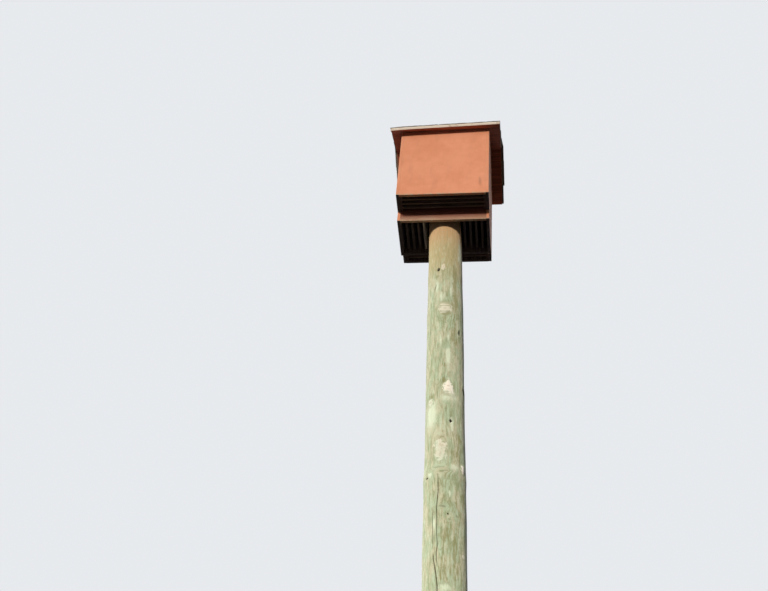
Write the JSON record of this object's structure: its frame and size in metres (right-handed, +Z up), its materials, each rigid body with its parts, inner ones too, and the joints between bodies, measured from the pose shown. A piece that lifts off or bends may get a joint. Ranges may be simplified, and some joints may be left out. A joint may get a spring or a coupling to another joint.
{
  "type": "bat house on a pole",
  "caption": "Tall wooden pole carrying a gabled box with landing walls and narrow roosting slots open underneath.",
  "frame": {"origin": "middle of the pole's foot, at ground level", "axes": "+Z up, the front of the house faces -Y, +X to the right seen from the front"},
  "size_m": [0.732, 0.6814, 7.5129],
  "materials": {
    "painted_board": "weathered terracotta paint",
    "bare_board": "rough sawn, darkened",
    "deck_board": "weathered boarding",
    "roofing_felt": "mineral surfaced felt",
    "galvanised_steel": "dull galvanised",
    "treated_trunk": "peeled, green treated, weathered"
  },
  "bodies": {
    "root": {"cap_screw": "galvanised_steel", "front_bay_board_1": "bare_board", "front_bay_board_2": "bare_board", "front_bay_board_3": "bare_board", "front_block": "bare_board", "front_deck": "deck_board", "front_landing_wall": "painted_board", "front_left_guide": "bare_board", "front_panel": "painted_board", "front_right_guide": "bare_board", "front_roofing": "roofing_felt", "left_core_board_1": "bare_board", "left_core_board_2": "bare_board", "left_core_board_3": "bare_board", "left_core_board_4": "bare_board", "left_side": "painted_board", "lower_bolt": "galvanised_steel", "pole": "treated_trunk", "pole_cap": "bare_board", "rear_bay_board_1": "bare_board", "rear_bay_board_2": "bare_board", "rear_bay_board_3": "bare_board", "rear_block": "bare_board", "rear_deck": "deck_board", "rear_landing_wall": "painted_board", "rear_left_guide": "bare_board", "rear_panel": "painted_board", "rear_right_guide": "bare_board", "rear_roofing": "roofing_felt", "ridge_beam": "bare_board", "ridge_cap": "roofing_felt", "right_core_board_1": "bare_board", "right_core_board_2": "bare_board", "right_core_board_3": "bare_board", "right_core_board_4": "bare_board", "right_side": "painted_board", "upper_bolt": "galvanised_steel"}
  },
  "joints": []
}
